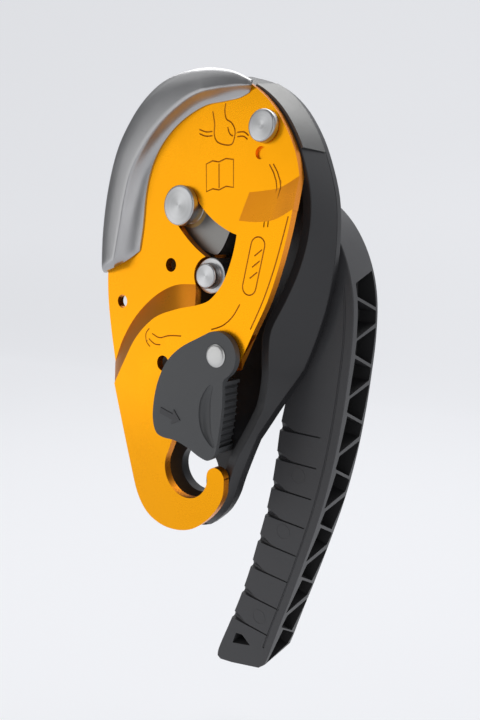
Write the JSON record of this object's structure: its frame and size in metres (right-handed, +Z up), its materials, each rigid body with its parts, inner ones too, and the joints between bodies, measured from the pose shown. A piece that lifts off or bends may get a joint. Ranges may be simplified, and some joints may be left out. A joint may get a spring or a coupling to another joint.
{
  "type": "belay device",
  "caption": "Self-braking rope descender: hinged side plate with friction lip, sprung gate over a hook, pivoting cam in a walled rope channel, and a folding handle behind.",
  "frame": {"origin": "centre of the attachment hole, in the middle of the lug's thickness", "axes": "+X to the right seen from the front, +Y to the rear along every pivot, +Z up; the moving plate faces -Y"},
  "size_m": [0.0987, 0.053, 0.2316],
  "materials": {
    "anodised_plate": "orange anodised, satin",
    "lip_steel": "stainless, satin",
    "head_steel": "stainless, turned",
    "inner_steel": "stainless, plain",
    "spring_steel": "spring steel",
    "cam_steel": "investment cast stainless",
    "body_black": "black anodised aluminium, satin",
    "insert_steel": "stainless, blasted",
    "bronze": "sintered bronze",
    "gate_plastic": "black nylon, fine grain",
    "grip_plastic": "black nylon, fine grain",
    "catch_orange": "orange nylon",
    "button_red": "red nylon"
  },
  "bodies": {
    "frame_body": {"fixed_side_plate": "body_black", "side_wall": "body_black", "rope_wear_insert": "insert_steel", "wall_rivets": "inner_steel", "cam_axle": "head_steel", "axle_washer": "inner_steel", "axle_retaining_ring": "spring_steel", "plate_pivot_rivet": "head_steel", "pivot_spacer": "inner_steel", "wear_stud": "head_steel", "cam_stop_pin": "inner_steel", "plate_bearing": "bronze", "cam_return_spring": "spring_steel"},
    "side_plate": {"moving_side_plate": "anodised_plate", "pivot_bush": "bronze", "friction_lip": "lip_steel", "lip_rivets": "inner_steel", "gate_rivet": "head_steel", "gate_washer": "inner_steel", "gate_spring": "spring_steel"},
    "gate_body": {"gate": "gate_plastic"},
    "cam_body": {"cam": "cam_steel", "cam_bush": "bronze", "catch_pin": "inner_steel", "catch_spring": "spring_steel"},
    "catch_body": {"error_catch": "catch_orange"},
    "handle": {"handle_grip": "grip_plastic", "handle_hub": "inner_steel", "hub_bush": "bronze", "drive_plate": "inner_steel", "hub_screws": "inner_steel", "hub_cap": "grip_plastic", "handle_return_spring": "spring_steel", "button_spring": "spring_steel"},
    "button": {"handle_button": "button_red"}
  },
  "joints": [
    {"name": "side_plate_swing", "type": "hinge", "parent": "frame_body", "child": "side_plate", "pos_m": [0.0305, 0, 0.12], "axis": [0, 1, 0], "range_deg": [0, 110]},
    {"name": "gate_swing", "type": "hinge", "parent": "side_plate", "child": "gate_body", "pos_m": [0.0165, 0, 0.045], "axis": [0, 1, 0], "range_deg": [0, 25], "stiffness_Nm_per_rad": 0.05, "springref_deg": -17.19},
    {"name": "cam_swing", "type": "hinge", "parent": "frame_body", "child": "cam_body", "pos_m": [-0.005, 0, 0.097], "axis": [0, 1, 0], "range_deg": [0, 14], "stiffness_Nm_per_rad": 0.08, "springref_deg": -17.19},
    {"name": "catch_swing", "type": "hinge", "parent": "cam_body", "child": "catch_body", "pos_m": [0.001, 0, 0.084], "axis": [0, 1, 0], "range_deg": [0, 12], "stiffness_Nm_per_rad": 0.01, "springref_deg": -17.19},
    {"name": "handle_swing", "type": "hinge", "parent": "frame_body", "child": "handle", "pos_m": [-0.005, 0, 0.097], "axis": [0, 1, 0], "range_deg": [-130, 0]},
    {"name": "button_press", "type": "slide", "parent": "handle", "child": "button", "axis": [0, -1, 0], "range_m": [0, 0.002], "stiffness_N_per_m": 400, "springref_m": -0.002}
  ]
}
